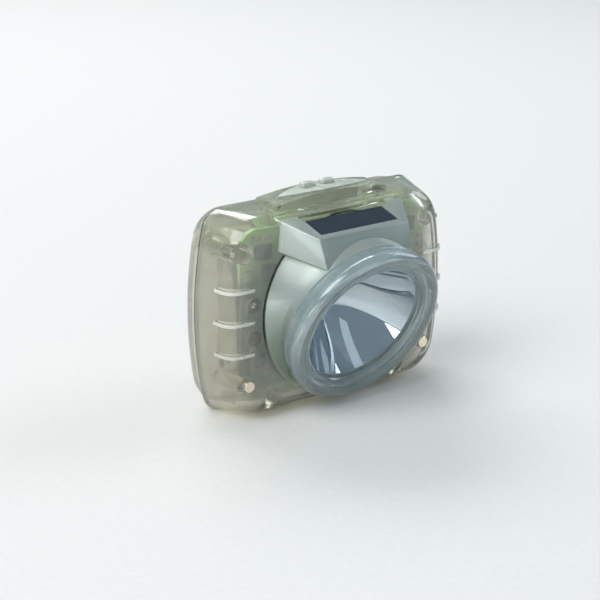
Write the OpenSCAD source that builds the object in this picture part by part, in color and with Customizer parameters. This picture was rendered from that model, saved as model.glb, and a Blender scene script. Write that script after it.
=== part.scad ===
// Cordless miner's cap lamp: a clear two-piece body with a tilted lamp barrel,
// a display hood above it, two keys on top and a helmet clip behind.
// X runs across the lamp, Y to the rear and Z up, with the lowest edge at z = 0.

/* [Body] */
// Width across the bulging sides
body_w = 77; // [72:0.5:96]
// Height from the lowest edge to the top face
body_h = 57; // [54:0.5:72]
// Depth from the front face to the rear face
body_depth = 21; // [20.5:0.5:30]
// Depth of the front housing, from the front face to the seam
front_depth = 14.5; // [13.5:0.5:17.5]
// How far each side bulges past its ends
side_bulge = 3.6; // [2:0.1:5]
// Corner radius of the front face
corner_r = 11; // [9:0.5:13]
// Corner radius at the seam
seam_corner_r = 5.5; // [4:0.5:8]
// Radius along the edge of the front face
edge_r = 4; // [2.5:0.25:4.5]
// How much each side leans in from the seam to the front
side_draft = 1.2; // [0:0.1:2]
// How much the underside rises from the seam to the front
bottom_draft = 1.4; // [0:0.1:2]
// How much the top falls from the seam to the front
top_draft = 0.4; // [0:0.1:1]
// Wall thickness of both housings
wall = 2; // [1.6:0.1:2.4]
// Radius along the edge of the rear face
rear_edge_r = 3; // [2:0.25:3.5]
// How far the rear housing is set in from the seam
rear_inset = 0.8; // [0.3:0.1:1.2]

/* [Barrel] */
// Downward tilt of the lamp barrel in degrees
tilt = 21; // [17:0.5:24]
// Reach of the bezel's centre in front of the front face
barrel_reach = 10.7; // [10:0.1:13]
// Height of the bezel's centre
ring_z = 25.4; // [24.8:0.1:28]
// Outer radius of the barrel
barrel_r = 22.6; // [22:0.1:24]
// Radius of the flare where the barrel meets the front face
flare_r = 26; // [25:0.25:27]
// Outer radius of the bezel
bezel_r = 24.1; // [23.8:0.1:26]
// Radius of the clear opening in the bezel
opening_r = 18; // [16.5:0.1:18.4]
// Thickness of the lens
lens_t = 2; // [1.5:0.1:2.2]
// Depth of the reflector behind the lens
reflector_depth = 16; // [13:0.25:16.5]

/* [Display] */
// Width of the display window
screen_w = 26.3; // [22:0.1:28]
// Depth of the display window, front to rear
screen_d = 7.7; // [6:0.1:8]
// Tilt of the display from level, in degrees
screen_tilt = 15; // [10:0.5:20]
// Reach of the hood in front of the front face
hood_reach = 9.6; // [9:0.1:11]
// Half width of the hood at the front face
hood_half_rear = 22; // [20:0.25:23]
// Half width of the hood at its front edge
hood_half_front = 14.8; // [14.6:0.1:17]

/* [Keys] */
// Length of the boat-shaped key pad
pad_len = 31; // [27:0.5:34]
// Width of the key pad
pad_w = 7.6; // [6.6:0.1:7.8]
// Length of a key along X
key_len = 4.4; // [3.6:0.1:5]
// Width of a key along Y
key_w = 2.6; // [2.2:0.1:3]
// Distance between the centres of the two keys
key_pitch = 6.6; // [6.2:0.1:9]
// Travel of a key
key_travel = 0.5; // [0.3:0.05:0.6]
// Half length of the raised platform under the pad
hump_half = 18.1; // [17.6:0.1:20]
// Height of the raised platform's ends above the top face
hump_h = 1.3; // [1:0.1:2]
// How much higher the platform's middle is than its ends
hump_crown = 1.4; // [1:0.1:1.8]

/* [Ribs and bosses] */
// Height of the lowest side rib
rib_z = 19.9; // [16:0.1:22]
// Distance between side ribs
rib_pitch = 9; // [7:0.1:10]
// Thickness of a side rib
rib_t = 1.0; // [0.8:0.1:1.6]
// How far a side rib stands proud
rib_proud = 0.5; // [0.3:0.1:1]
// Distance of the charging studs from the middle
stud_x = 30.3; // [29.9:0.1:31]
// Height of the charging studs
stud_z = 10.7; // [9.5:0.1:12]
// Radius of a charging stud's head
stud_r = 1.6; // [1.3:0.1:1.8]

/* [Cell] */
// Width of the pouch cell
cell_w = 55; // [40:0.5:55.5]
// Height of the pouch cell
cell_h = 41; // [34:0.5:42]
// Thickness of the pouch cell
cell_t = 4.6; // [3.6:0.1:4.8]

/* [Helmet clip] */
// Width of the clip's tongue
clip_w = 30; // [24:0.5:34]
// Thickness of the clip's sheet
clip_t = 1.5; // [1.2:0.1:2]
// Gap between the tongue and the rear face
clip_gap = 4.6; // [4.4:0.1:6]
// Length of the tongue below its bend
clip_drop = 32; // [26:0.5:36]

/* [Fits] */
// Gap between pieces that only clear each other
clear = 0.15; // [0.1:0.05:0.3]
// Radial gap between a shaft or screw and its hole
fit = 0.05; // [0.03:0.01:0.08]
// Thickness of the gasket between the housings
gasket_t = 1; // [0.8:0.1:1.4]

/* [Hidden] */

// Overall reach of the bezel in front of the front face, and of the clip behind the rear face.
bead_r = 2.2;
bezel_reach = barrel_reach + (bezel_r - bead_r) * sin(tilt) + bead_r;
clip_pad_t = 1.6;
clip_flare = 1.2;
clip_reach = clip_gap + clip_t + clip_flare;

// Planes of the body along Y; the origin lies midway along the whole depth.
front_y = (bezel_reach - body_depth - clip_reach) / 2;
seam_y = front_y + front_depth;
rear_y = front_y + body_depth;
inner_front_y = front_y + wall;
inner_rear_y = rear_y - wall;
mid_z = body_h / 2;
seam_gap = gasket_t / 2;
side_r = (pow(mid_z, 2) + pow(side_bulge, 2)) / (2 * side_bulge);

// The bezel's own axis: local z points out of the lamp.
ring_y = front_y - barrel_reach;
neck_r = barrel_r - 1;
bore_r = neck_r - 1;
lip_t = 1.6;
lens_top = -0.2;
lens_bottom = lens_top - lens_t;
lens_r = bore_r - 0.6;
seal_r = (neck_r + lens_r) / 2;
seal_section = (neck_r - lens_r) / 2 - fit;
neck_end = lens_top - 2 * seal_section - 2 * fit;
skirt_back = -4.6;
skirt_r = barrel_r + 0.5;
flange_t = 1;
throat_r = 3.4;
reflector_wall = 1.1;
reflector_rim_r = opening_r - 0.1;
reflector_end = lens_bottom - fit - reflector_depth;
led_board_t = 1.5;
led_board_r = 8.4;
led_board_top = reflector_end - clear;
led_board_bottom = led_board_top - led_board_t;
sink_top = led_board_bottom - fit;
sink_base_t = 1.9;
sink_base_r = 10;
sink_r = bore_r - 0.3;
sink_wall = 1.3;
led_screw_x = 6.8;

// Display hood.
screen_y = front_y - 4.25;
screen_z = body_h - 3.75;
window_t = 1.2;
window_sunk = 0.15;
module_t = 1.2;
module_w = screen_w - 2.4;
module_d = screen_d - 2;
display_board_t = 0.6;
hood_wall = 1.8;
hood_side_z = body_h - 9.3;
hood_chin_z = body_h - 11.4;
hood_chin_x = hood_half_rear - 3;
hood_front_y = front_y - hood_reach;
hood_toe_y = hood_front_y - 2.4;
hood_toe_z = body_h - 12.9;
hood_back_z = body_h - 1;
tray_w = screen_w + 3.2;
tray_d = screen_d + 2.6;

// Top: platform, pad, keys and switches.
hump_z = body_h + hump_h;
hump_r = (pow(hump_half, 2) + pow(hump_crown, 2)) / (2 * hump_crown);
crown_z = hump_z + hump_crown;
pad_y = seam_y - 5.9;
key_x = -1;
key_y = pad_y + 1.5;
pad_proud = 0.5;
pad_top = crown_z + pad_proud;
pad_flange = 0.8;
pad_flange_t = 0.9;
hump_wall = 2;
pad_seat = hump_z - hump_wall;
key_top = pad_top + 1.1;
switch_board_t = 0.8;
switch_board_top = body_h - 4.2;
switch_can_h = 2;
switch_can_top = switch_board_top + switch_can_h;
plunger_r = 1;
plunger_h = 0.8;
plunger_top = switch_can_top + plunger_h;
key_post_r = 1.1;
key_foot = pad_seat + 0.6;
switch_post_x = hump_half + 1;
switch_post_r = 1.7;
switch_board_half = switch_post_x + 2.2;
switch_board_d = 6.6;

// Main board.
board_t = 1.2;
board_front = inner_front_y + 1.6;
board_back = board_front + board_t;
board_half = 31.5 + (body_w - 77) / 2;
board_low = 8.6;
board_high = body_h - 4;
board_hole_r = barrel_r - 1;
board_hole_z = ring_z + 3.1;
boss_r = 2.15;
peg_r = 1;
board_boss_x = 28 + (body_w - 77) / 2;
board_peg_z = mid_z + 4.3;
board_screw_z = mid_z - 4.8;
board_screw_r = 0.9;

// Housing screws.
screw_boss_r = 2.5;
screw_r = 1.1;
screw_head_r = 2;
screw_head_t = 1.4;
top_screw_x = body_w / 2 - 7.2;
top_screw_z = body_h - 9.5;
low_screw_x = 21.5;
low_screw_z = 5.4;
screw_spots = [
    [-top_screw_x, top_screw_z], [top_screw_x, top_screw_z],
    [-low_screw_x, low_screw_z], [low_screw_x, low_screw_z]
];
screw_tip_y = seam_y - 9.5;
screw_head_y = rear_y - 1.6;

// Charging studs.
stud_head_t = 1;
stud_seal_t = 0.5;
stud_shank_r = 1;
stud_boss_end = front_y + 11.5;
stud_nut_t = 1.2;
stud_end = stud_boss_end + stud_nut_t + 0.5;
tag_t = 0.3;

// Cell.
foam_t = 0.5;
cell_back = inner_rear_y - foam_t - 0.1;
cell_front = cell_back - cell_t;
cell_low = 8.7;
cell_board_h = 3.4;

// Helmet clip.
clip_screw_x = 9;
clip_top_z = body_h - 7;
clip_screw_z = clip_top_z - 6;
clip_flange_h = 12;
clip_screw_r = 1.5;
clip_head_r = 2.6;
clip_head_t = 1.4;

clear_pc = [0.78, 0.83, 0.80, 0.45];
smoke_pc = [0.62, 0.70, 0.72, 0.6];

// ---- shared shapes ----

// Face outline in X and Z: bulging sides, flat top and bottom, rounded corners.
// At the front the sides, bottom and top lie further in by their drafts.
module outline(grow, r, front = false) {
    side = front ? side_draft : 0;
    low = front ? bottom_draft : 0;
    high = body_h - (front ? top_draft : 0);
    offset(r = r + grow)
        offset(delta = -r)
            intersection() {
                translate([side_r - body_w / 2 + side, mid_z])
                    circle(r = side_r, $fn = 240);
                translate([body_w / 2 - side_r - side, mid_z])
                    circle(r = side_r, $fn = 240);
                translate([-body_w / 2, low])
                    square([body_w, high - low]);
            }
}

// A thin slice of the body at one y.
module slice(y, grow, r, front = false) {
    translate([0, y, 0])
        rotate([90, 0, 0])
            linear_extrude(0.02, center = true)
                outline(grow, r, front, $fn = 44);
}

// Solid form of the front housing up to a y plane, grown or shrunk.
module front_form(grow, y_end) {
    hull() {
        for (a = [0:22.5:90])
            slice(front_y - grow + 0.01 + edge_r * (1 - cos(a)),
                  grow - edge_r * (1 - sin(a)), corner_r, true);
        slice(y_end - 0.01, grow, seam_corner_r);
    }
}

// Solid form of the rear housing, grown or shrunk.
module rear_form(grow, y_start) {
    hull() {
        slice(y_start + 0.01, grow - rear_inset, seam_corner_r);
        for (a = [0:22.5:90])
            slice(rear_y + grow - 0.01 - rear_edge_r * (1 - cos(a)),
                  grow - rear_inset - rear_edge_r * (1 - sin(a)), corner_r - 1);
    }
}

// Moves to the bezel's axis, with local z pointing out of the lamp.
module on_axis() {
    translate([0, ring_y, ring_z])
        rotate([90 + tilt, 0, 0])
            children();
}

// Moves to the middle of the display's face, with local z pointing out of it.
module on_screen() {
    translate([0, screen_y, screen_z])
        rotate([screen_tilt, 0, 0])
            children();
}

// A cylinder along Y from one plane to another.
module along_y(x, z, y1, y2, r) {
    translate([x, y1, z])
        rotate([-90, 0, 0])
            cylinder(h = y2 - y1, r = r, $fn = 48);
}

// A box centred on X and Y that rises from z.
module block(size, z) {
    translate([-size[0] / 2, -size[1] / 2, z])
        cube(size);
}

// Boat-shaped outline of the pad, grown by a margin.
module boat(margin) {
    half = pad_len / 2 + margin * 1.6;
    beam = pad_w / 2 + margin;
    r = (pow(half, 2) + pow(beam, 2)) / (2 * beam);
    intersection() {
        translate([0, r - beam])
            circle(r = r, $fn = 180);
        translate([0, beam - r])
            circle(r = r, $fn = 180);
    }
}

// Rounded rectangle made of two bars and four circles.
module soft_rect(w, d, r) {
    square([w - 2 * r, d], center = true);
    square([w, d - 2 * r], center = true);
    for (x = [-1, 1], y = [-1, 1])
        translate([x * (w / 2 - r), y * (d / 2 - r)])
            circle(r = r, $fn = 32);
}

// Hood above the barrel, grown by a margin; the rear end lies inside the body.
module hood_form(grow, rear) {
    top_front = screen_z + (hood_front_y - screen_y) * tan(screen_tilt);
    hull() {
        for (s = [-1, 1]) {
            translate([s * (hood_half_rear + grow), front_y + rear, hood_side_z])
                sphere(r = 0.4, $fn = 12);
            translate([s * (hood_half_rear + grow - 0.8), front_y + rear, hood_back_z + grow - 0.4])
                sphere(r = 0.4, $fn = 12);
            translate([s * (hood_chin_x + grow), front_y + rear, hood_chin_z - grow])
                sphere(r = 0.4, $fn = 12);
            translate([s * (hood_half_front + grow), hood_front_y - grow, top_front + grow - 0.4])
                sphere(r = 0.4, $fn = 12);
            translate([s * (hood_half_front + grow - 0.6), hood_toe_y - grow, hood_toe_z - grow])
                sphere(r = 0.4, $fn = 12);
        }
    }
}

// Flared foot of the barrel, grown or shrunk.
module flare_form(grow) {
    hull() {
        translate([0, front_y - 0.2, mid_z])
            rotate([-90, 0, 0])
                cylinder(h = 1.2, r = flare_r + grow, $fn = 96);
        on_axis()
            translate([0, 0, -7.4])
                cylinder(h = 0.4, r = barrel_r - 0.2 + grow, $fn = 96);
    }
}

// Raised platform for the keys with a crowned top, between two y planes.
module hump(y1, y2) {
    translate([0, y2, 0])
        rotate([90, 0, 0])
            linear_extrude(y2 - y1)
                intersection() {
                    translate([0, crown_z - hump_r])
                        circle(r = hump_r, $fn = 240);
                    polygon([
                        [-hump_half - 0.8, body_h - 1.5], [hump_half + 0.8, body_h - 1.5],
                        [hump_half, crown_z + 1], [-hump_half, crown_z + 1]
                    ]);
                }
}

// ---- housings ----

module rib_slabs() {
    reach_x = 9.5;
    reach_y = 6;
    for (s = [-1, 1], i = [0:3])
        translate([s > 0 ? body_w / 2 - reach_x : -body_w / 2 - 2,
                   i < 3 ? front_y - 2 : front_y + 2.4,
                   rib_z + i * rib_pitch - rib_t / 2])
            cube([reach_x + 2, (i < 3 ? reach_y + 2 : reach_y), rib_t]);
}

module front_shell_outer() {
    front_form(0, seam_y - seam_gap);
    intersection() {
        front_form(rib_proud, seam_y - seam_gap);
        rib_slabs();
    }
    hump(front_y + edge_r, seam_y - seam_gap);
    difference() {
        union() {
            flare_form(0);
            hood_form(0, 2);
        }
        translate([-50, inner_front_y, -5])
            cube([100, 40, 80]);
    }
    on_axis()
        translate([0, 0, skirt_back - fit])
            mirror([0, 0, 1])
                cylinder(h = 6, r = barrel_r, $fn = 96);
}

module front_bosses() {
    for (s = [-1, 1]) {
        along_y(s * board_boss_x, board_peg_z, inner_front_y - 0.5, board_front, boss_r);
        along_y(s * board_boss_x, board_peg_z, board_front - 0.5, board_back + 0.8, peg_r);
        along_y(s * board_boss_x, board_screw_z, inner_front_y - 0.5, board_front, boss_r);
        along_y(s * stud_x, stud_z, inner_front_y - 0.5, stud_boss_end, boss_r);
        translate([s * switch_post_x, pad_y, switch_board_top])
            cylinder(h = body_h - wall - switch_board_top + 0.5, r = switch_post_r, $fn = 40);
    }
    for (p = screw_spots)
        along_y(p[0], p[1], inner_front_y - 0.5, seam_y - seam_gap, screw_boss_r);
}

module front_housing() {
    color(clear_pc)
        difference() {
            union() {
                difference() {
                    front_shell_outer();
                    front_form(-wall, seam_y + 2);
                    hood_form(-hood_wall, wall + 1);
                    on_axis()
                        translate([0, 0, skirt_back - fit])
                            cylinder(h = 8, r = bezel_r + clear, $fn = 96);
                }
                front_bosses();
                on_axis()
                    translate([0, 0, neck_end])
                        mirror([0, 0, 1])
                            cylinder(h = 11.5, r = neck_r, $fn = 96);
            }
            on_axis()
                translate([0, 0, neck_end + 1])
                    mirror([0, 0, 1])
                        cylinder(h = 26, r = bore_r, $fn = 96);
            on_screen() {
                block([tray_w, tray_d, 4], 0);
                block([screen_w + 2 * fit, screen_d + 2 * fit, window_t + window_sunk + 3],
                      -window_t - window_sunk);
                block([module_w + 0.4, module_d + 0.4, 6], -4);
            }
            translate([0, pad_y, pad_seat - 1])
                linear_extrude(pad_top - pad_seat + 3)
                    boat(fit);
            translate([0, pad_y, body_h - wall - 1])
                linear_extrude(pad_seat - body_h + wall + 1)
                    boat(pad_flange + clear);
            for (p = screw_spots)
                along_y(p[0], p[1], screw_tip_y - 0.5, seam_y + 1, screw_r + fit);
            for (s = [-1, 1]) {
                along_y(s * board_boss_x, board_screw_z, inner_front_y - 0.9, board_front + 1,
                        board_screw_r + fit);
                along_y(s * stud_x, stud_z, front_y - 1, stud_boss_end + 1, stud_shank_r + fit);
                along_y(s * stud_x, stud_z, front_y - 1, front_y + stud_head_t + stud_seal_t, stud_r + fit);
                translate([s * switch_post_x, pad_y, switch_board_top - 1])
                    cylinder(h = 2.8, r = 0.7 + fit, $fn = 32);
            }
        }
}

module rear_housing() {
    color(clear_pc)
        difference() {
            union() {
                difference() {
                    rear_form(0, seam_y + seam_gap);
                    rear_form(-wall, seam_y - 2);
                }
                for (p = screw_spots)
                    along_y(p[0], p[1], seam_y + seam_gap, inner_rear_y + 0.5, screw_boss_r + 0.6);
                translate([0, rear_y - 1, clip_top_z - clip_flange_h])
                    rotate([-90, 0, 0])
                        mirror([0, 1, 0])
                            linear_extrude(1 + clip_pad_t)
                                translate([0, clip_flange_h / 2])
                                    soft_rect(clip_w + 2, clip_flange_h + 2, 3);
            }
            for (p = screw_spots) {
                along_y(p[0], p[1], seam_y - 1, rear_y + 1, screw_r + 0.15);
                along_y(p[0], p[1], screw_head_y - screw_head_t, rear_y + 1, screw_head_r + clear);
            }
            for (s = [-1, 1])
                along_y(s * clip_screw_x, clip_screw_z, rear_y - wall + 0.6, rear_y + clip_pad_t + 1,
                        clip_screw_r + fit);
        }
}

module housing_gasket() {
    color([0.12, 0.13, 0.12])
        translate([0, seam_y + seam_gap - 0.02, 0])
            rotate([90, 0, 0])
                linear_extrude(gasket_t - 0.04)
                    difference() {
                        outline(-0.45, seam_corner_r, $fn = 44);
                        outline(-wall + 0.1, seam_corner_r, $fn = 44);
                    }
}

// ---- lamp ----

module bezel_ring() {
    bead_at = bezel_r - bead_r;
    foot = -acos((skirt_r - bead_at) / bead_r);
    lip_z = lens_top + lip_t;
    crest = 180 - asin(lip_z / bead_r);
    steps = 24;
    bead = [for (i = [0:steps]) let (a = foot + (crest - foot) * i / steps)
        [bead_at + bead_r * cos(a), bead_r * sin(a)]];
    color(smoke_pc)
        on_axis()
            rotate_extrude($fn = 128)
                polygon(concat([[neck_r + fit, skirt_back], [skirt_r, skirt_back]], bead, [
                    [opening_r + 1.1, lip_z], [opening_r, lens_top + 0.5], [opening_r, lens_top],
                    [neck_r + fit, lens_top]
                ]));
}

module lens() {
    color([0.85, 0.92, 0.97, 0.3])
        on_axis()
            translate([0, 0, lens_bottom])
                cylinder(h = lens_t - fit, r = lens_r, $fn = 128);
}

module lens_seal() {
    color([0.1, 0.1, 0.1])
        on_axis()
            rotate_extrude($fn = 128)
                translate([seal_r, neck_end + seal_section + fit])
                    circle(r = seal_section, $fn = 32);
}

// Radius of the reflecting surface at a depth behind its rim.
function bowl_r(u) =
    sqrt(pow(reflector_rim_r, 2) - u / reflector_depth * (pow(reflector_rim_r, 2) - pow(throat_r, 2)));

module reflector() {
    steps = 20;
    rim_z = lens_bottom - fit;
    inside = [for (i = [0:steps]) let (u = reflector_depth * i / steps) [bowl_r(u), rim_z - u]];
    outside = [for (i = [steps:-1:2]) let (u = reflector_depth * i / steps)
        [bowl_r(u) + reflector_wall, rim_z - u]];
    color([0.8, 0.84, 0.88])
        on_axis()
            rotate_extrude($fn = 128)
                polygon(concat(inside, outside, [
                    [bowl_r(reflector_depth * 2 / steps) + reflector_wall, rim_z - flange_t],
                    [bore_r - clear, rim_z - flange_t], [bore_r - clear, rim_z]
                ]));
}

module led_emitter() {
    color([0.95, 0.85, 0.35])
        on_axis() {
            translate([-1.75, -1.75, led_board_top + 0.02])
                cube([3.5, 3.5, 0.7]);
            translate([0, 0, led_board_top + 0.7])
                intersection() {
                    sphere(r = 1.5, $fn = 40);
                    translate([-2, -2, 0])
                        cube([4, 4, 4]);
                }
        }
}

module led_board() {
    color([0.93, 0.94, 0.92])
        on_axis()
            translate([0, 0, led_board_bottom])
                difference() {
                    cylinder(h = led_board_t, r = led_board_r, $fn = 64);
                    for (s = [-1, 1])
                        translate([s * led_screw_x, 0, -1])
                            cylinder(h = led_board_t + 2, r = 0.9, $fn = 32);
                }
}

module led_board_screws() {
    color([0.75, 0.75, 0.76])
        on_axis()
            for (s = [-1, 1])
                translate([s * led_screw_x, 0, 0])
                    difference() {
                        union() {
                            translate([0, 0, led_board_top + fit])
                                cylinder(h = 0.55, r = 1.1, $fn = 40);
                            translate([0, 0, sink_top - 1.4])
                                cylinder(h = led_board_t + 1.7, r = 0.75, $fn = 40);
                        }
                        translate([-1, -0.2, led_board_top + 0.35])
                            cube([2, 0.4, 1]);
                    }
}

module heat_sink() {
    front = -6;
    shoulder = -10.5;
    color([0.72, 0.74, 0.75])
        on_axis()
            difference() {
                rotate_extrude($fn = 128)
                    polygon([
                        [0, sink_top], [led_board_r + 0.2, sink_top], [led_board_r + 1, sink_top + 1.2],
                        [sink_r - sink_wall, shoulder + 0.6], [sink_r - sink_wall, front],
                        [sink_r, front], [sink_r, shoulder],
                        [sink_base_r + 1.2, sink_top - 0.4], [sink_base_r, sink_top - sink_base_t],
                        [0, sink_top - sink_base_t]
                    ]);
                for (s = [-1, 1])
                    translate([s * led_screw_x, 0, sink_top - 1.5])
                        cylinder(h = 3, r = 0.75 + fit, $fn = 32);
            }
}

// ---- display ----

module display_window() {
    color([0.10, 0.12, 0.18])
        on_screen()
            block([screen_w, screen_d, window_t], -window_t - window_sunk);
}

module display_module() {
    color([0.2, 0.24, 0.22])
        on_screen()
            block([module_w, module_d, module_t], -window_t - window_sunk - module_t - 0.02);
}

module display_board() {
    top = -window_t - window_sunk - module_t - 0.04;
    color([0.35, 0.55, 0.35])
        on_screen()
            block([module_w, module_d, display_board_t], top - display_board_t);
}

module display_cable() {
    width = 8;
    from_y = screen_y + (screen_d / 2 - 1) * cos(screen_tilt) + 1.2;
    from_z = screen_z + (screen_d / 2) * sin(screen_tilt) - 3.9;
    color([0.78, 0.6, 0.3])
        translate([-width / 2, 0, 0])
            rotate([90, 0, 90])
                linear_extrude(width)
                    polygon([
                        [from_y - 1.6, from_z], [from_y, from_z + 0.35],
                        [board_front - 0.05, board_high - 1.3], [board_front - 0.05, board_high - 1.9],
                        [from_y, from_z], [from_y - 1.6, from_z - 0.3]
                    ]);
}

// ---- electronics ----

module main_board() {
    color([0.55, 0.72, 0.45])
        difference() {
            translate([0, board_back, 0])
                rotate([90, 0, 0])
                    linear_extrude(board_t)
                        difference() {
                            translate([0, (board_low + board_high) / 2])
                                soft_rect(2 * board_half, board_high - board_low, 6);
                            translate([0, board_hole_z])
                                circle(r = board_hole_r, $fn = 96);
                            for (p = screw_spots)
                                translate(p)
                                    circle(r = screw_boss_r + 0.4, $fn = 48);
                            for (s = [-1, 1]) {
                                translate([s * stud_x, stud_z])
                                    circle(r = boss_r + 0.3, $fn = 48);
                                translate([s * (stud_x + 3), board_low])
                                    square([6, 6], center = true);
                                translate([s * (top_screw_x + 3), top_screw_z + 3])
                                    square([6, 12], center = true);
                                translate([s * board_boss_x, board_peg_z])
                                    circle(r = peg_r + fit, $fn = 32);
                                translate([s * board_boss_x, board_screw_z])
                                    circle(r = board_screw_r + 0.15, $fn = 32);
                            }
                        }
        }
}

// A chip on the front face of the main board, centred on x and z.
module board_chip(x, z, w, h, t) {
    translate([x - w / 2, board_front - t, z - h / 2])
        cube([w, t - 0.02, h]);
}

module driver_chips() {
    color([0.12, 0.12, 0.13]) {
        board_chip(-24.5, board_high - 6, 5, 4, 1.2);
        board_chip(25, board_high - 6.5, 4, 4, 1.1);
        board_chip(-25.5, 16.5, 3, 3.6, 1.1);
        board_chip(25.5, 17, 4, 3.2, 1.1);
    }
}

module power_inductor() {
    color([0.3, 0.3, 0.32])
        board_chip(-22.6, board_high - 12, 4.4, 4.4, 1.4);
}

module chip_parts() {
    color([0.76, 0.68, 0.5]) {
        for (i = [0:3])
            board_chip(-28 + 1.9 * i, board_high - 2.2, 1, 1.7, 0.7);
        for (i = [0:2])
            board_chip(23 + 2 * i, board_high - 2.4, 1, 1.7, 0.7);
        for (i = [0:2])
            board_chip(-29.6, mid_z + 9 + 2.4 * i, 1.7, 1, 0.7);
        for (i = [0:2])
            board_chip(29.6, mid_z + 9 + 2.4 * i, 1.7, 1, 0.7);
        board_chip(-27.6, 20, 1.6, 0.9, 0.7);
        board_chip(-23.4, 12.4, 1.6, 0.9, 0.7);
    }
}

module cell_connector() {
    x = 26;
    z = mid_z - 12;
    color([0.93, 0.92, 0.86])
        difference() {
            translate([x - 3.2, board_back + 0.02, z - 2.2])
                cube([6.4, 4.2, 4.4]);
            translate([x - 2.4, board_back + 2, z - 1.4])
                cube([4.8, 4, 2.8]);
        }
}

module board_screws() {
    color([0.25, 0.25, 0.26])
        for (s = [-1, 1])
            difference() {
                union() {
                    along_y(s * board_boss_x, board_screw_z, inner_front_y - 0.7, board_back + 0.6,
                            board_screw_r);
                    along_y(s * board_boss_x, board_screw_z, board_back + 0.02, board_back + 1.2, 1.8);
                }
                translate([s * board_boss_x - 0.2, board_back + 0.7, board_screw_z - 1.2])
                    cube([0.4, 1, 2.4]);
                translate([s * board_boss_x - 1.2, board_back + 0.7, board_screw_z - 0.2])
                    cube([2.4, 1, 0.4]);
            }
}

module switch_board() {
    color([0.45, 0.62, 0.38])
        translate([0, pad_y, switch_board_top - switch_board_t - 0.02])
            linear_extrude(switch_board_t)
                difference() {
                    soft_rect(2 * switch_board_half, switch_board_d, 1.5);
                    for (s = [-1, 1])
                        translate([s * switch_post_x, 0])
                            circle(r = 0.9, $fn = 32);
                }
}

module switch_cans() {
    color([0.8, 0.8, 0.8])
        for (s = [-1, 1])
            translate([key_x + s * key_pitch / 2, key_y, 0])
                difference() {
                    block([5.4, 3.4, switch_can_h], switch_board_top);
                    translate([0, 0, switch_can_top - key_travel - 0.6])
                        cylinder(h = 3, r = plunger_r + fit, $fn = 40);
                }
}

module switch_screws() {
    color([0.6, 0.6, 0.62])
        for (s = [-1, 1])
            translate([s * switch_post_x, pad_y, 0]) {
                translate([0, 0, switch_board_top - switch_board_t - 0.9])
                    cylinder(h = 0.86, r = 1.4, $fn = 40);
                translate([0, 0, switch_board_top - switch_board_t - 0.5])
                    cylinder(h = switch_board_t + 1.9, r = 0.7, $fn = 32);
            }
}

// A switch's plunger and the key above it; side is -1 or 1.
module plunger(side) {
    translate([key_x + side * key_pitch / 2, key_y, switch_can_top - 0.05])
        cylinder(h = plunger_h, r = plunger_r, $fn = 40);
}

module key(side) {
    post_bottom = plunger_top - 0.04;
    translate([key_x + side * key_pitch / 2, key_y, 0]) {
        translate([0, 0, post_bottom])
            cylinder(h = key_foot - post_bottom + 0.2, r = key_post_r, $fn = 40);
        translate([0, 0, key_foot])
            linear_extrude(key_top - 0.5 - key_foot)
                soft_rect(key_len, key_w, 0.9);
        hull() {
            translate([0, 0, key_top - 0.52])
                linear_extrude(0.02)
                    soft_rect(key_len, key_w, 0.9);
            translate([0, 0, key_top - 0.17])
                linear_extrude(0.02)
                    soft_rect(key_len - 0.4, key_w - 0.4, 0.8);
            translate([0, 0, key_top - 0.02])
                linear_extrude(0.02)
                    soft_rect(key_len - 1.1, key_w - 1.1, 0.6);
        }
    }
}

module lamp_plunger() color([0.2, 0.2, 0.2]) plunger(-1);
module display_plunger() color([0.2, 0.2, 0.2]) plunger(1);
module lamp_key() color([0.86, 0.88, 0.84, 0.8]) key(-1);
module display_key() color([0.86, 0.88, 0.84, 0.8]) key(1);

module key_pad() {
    color([0.84, 0.86, 0.82, 0.8])
        translate([0, pad_y, 0])
            difference() {
                union() {
                    intersection() {
                        translate([0, 0, pad_seat - 0.2])
                            linear_extrude(pad_top - pad_seat + 0.2)
                                boat(0);
                        translate([0, 15, pad_top - hump_r])
                            rotate([90, 0, 0])
                                cylinder(h = 30, r = hump_r, $fn = 240);
                    }
                    translate([0, 0, pad_seat - pad_flange_t - 0.02])
                        linear_extrude(pad_flange_t)
                            boat(pad_flange);
                }
                for (s = [-1, 1])
                    translate([key_x + s * key_pitch / 2, key_y - pad_y, pad_seat - 3])
                        linear_extrude(10)
                            soft_rect(key_len + 2 * clear, key_w + 2 * clear, 0.9 + clear);
            }
}

// ---- charging studs ----

module charging_studs() {
    color([0.93, 0.87, 0.72])
        for (s = [-1, 1]) {
            along_y(s * stud_x, stud_z, front_y - 0.1, front_y + stud_head_t, stud_r);
            along_y(s * stud_x, stud_z, front_y + 0.5, stud_end, stud_shank_r);
        }
}

module stud_seals() {
    color([0.1, 0.1, 0.1])
        for (s = [-1, 1])
            difference() {
                along_y(s * stud_x, stud_z, front_y + stud_head_t + 0.02,
                        front_y + stud_head_t + stud_seal_t - 0.02, stud_r);
                along_y(s * stud_x, stud_z, front_y, front_y + 4, stud_shank_r + fit);
            }
}

module stud_nuts() {
    color([0.8, 0.72, 0.45])
        for (s = [-1, 1])
            difference() {
                translate([s * stud_x, stud_boss_end + tag_t + 0.04, stud_z])
                    rotate([-90, 0, 0])
                        cylinder(h = stud_nut_t - 0.02, r = 2.1, $fn = 6);
                along_y(s * stud_x, stud_z, front_y + 8, rear_y, stud_shank_r + fit);
            }
}

module solder_tags() {
    color([0.85, 0.8, 0.6])
        for (s = [-1, 1])
            difference() {
                translate([s * stud_x, stud_boss_end + tag_t + 0.02, 0])
                    rotate([90, 0, 0])
                        linear_extrude(tag_t)
                            union() {
                                translate([0, stud_z])
                                    circle(r = 1.9, $fn = 40);
                                translate([-0.7, stud_z])
                                    square([1.4, 5]);
                            }
                along_y(s * stud_x, stud_z, front_y + 8, rear_y, stud_shank_r + fit);
            }
}

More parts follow.
